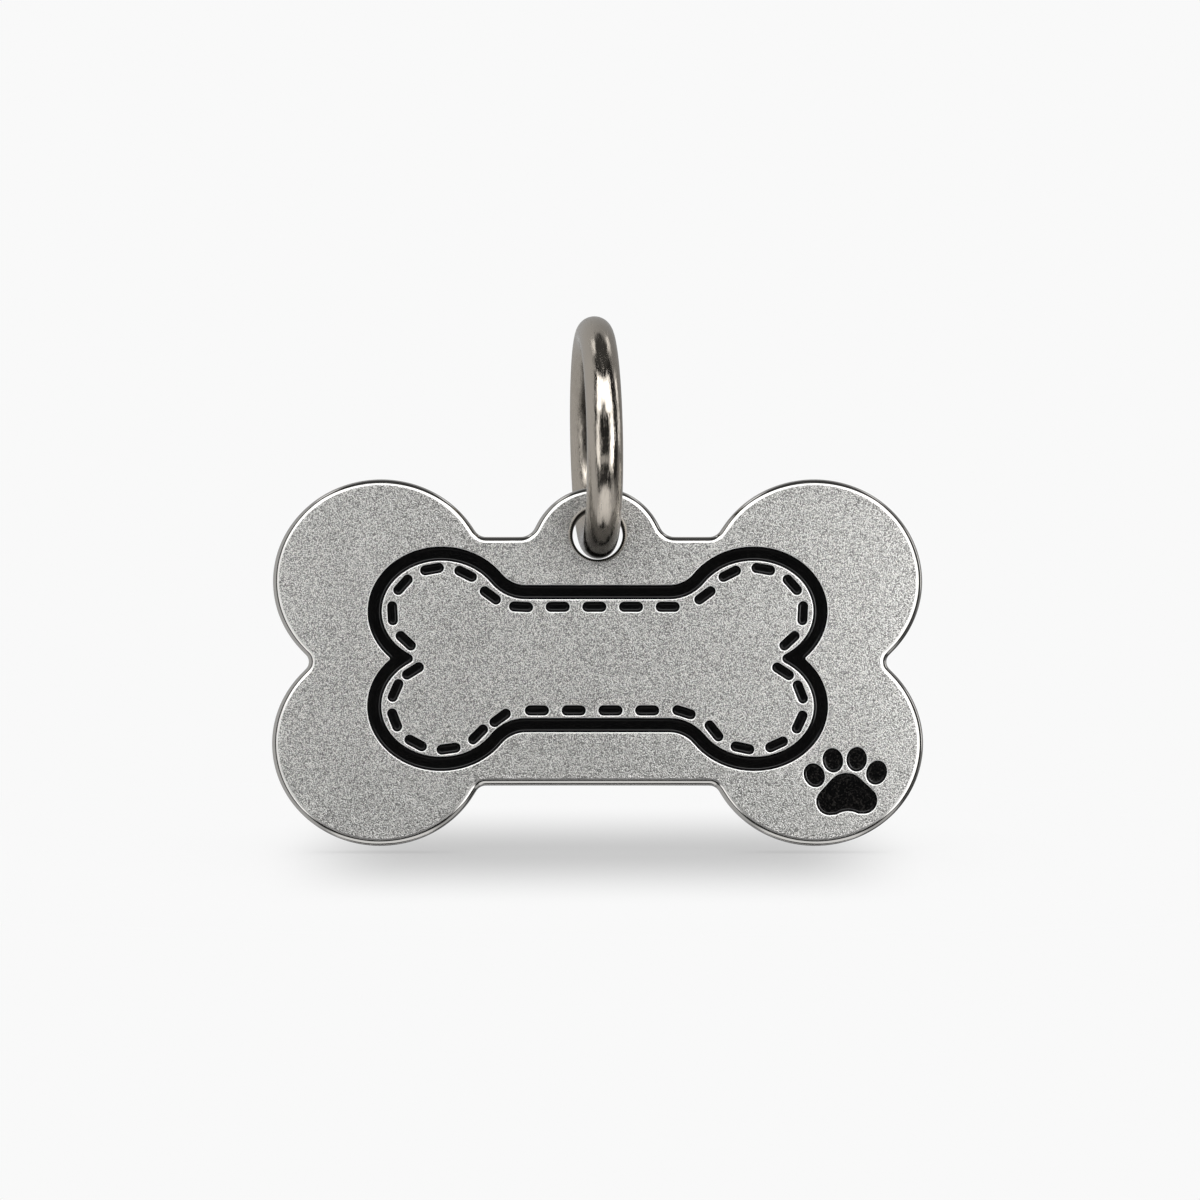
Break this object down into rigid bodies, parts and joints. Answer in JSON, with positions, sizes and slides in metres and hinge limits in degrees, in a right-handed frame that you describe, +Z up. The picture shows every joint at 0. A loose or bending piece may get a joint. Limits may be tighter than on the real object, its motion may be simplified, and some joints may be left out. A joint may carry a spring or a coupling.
{
  "type": "pet id tag",
  "caption": "Bone-shaped steel pet ID tag with an enamelled border groove, stitch line and paw print, hanging from a round jump ring.",
  "frame": {"origin": "centre of the jump ring's eye", "axes": "+X right along the bone's length seen from the engraved face, -Y out of the engraved face towards the viewer, +Z up from the tag to the ring's top"},
  "size_m": [0.04, 0.015, 0.0327],
  "materials": {
    "plate_steel": "fine bead-blasted faces with a polished rolled edge",
    "ring_nickel": "polished nickel plate, slightly warm",
    "black_enamel": "glossy black enamel with a fine stipple"
  },
  "bodies": {
    "ring": {"jump_ring": "ring_nickel"},
    "tag": {"tag_plate": "plate_steel", "border_enamel": "black_enamel", "top_row_stitches": "black_enamel", "bottom_row_stitches": "black_enamel", "upper_left_stitches": "black_enamel", "upper_right_stitches": "black_enamel", "lower_left_stitches": "black_enamel", "lower_right_stitches": "black_enamel", "paw_pad_enamel": "black_enamel", "paw_toe_1_enamel": "black_enamel", "paw_toe_2_enamel": "black_enamel", "paw_toe_3_enamel": "black_enamel", "paw_toe_4_enamel": "black_enamel"}
  },
  "joints": [
    {"name": "tag_swing", "type": "hinge", "parent": "ring", "child": "tag", "pos_m": [0.00018, 0.00002, -0.0064], "axis": [-0.0854, 0.9963, 0], "range_deg": [-68, 65]}
  ]
}
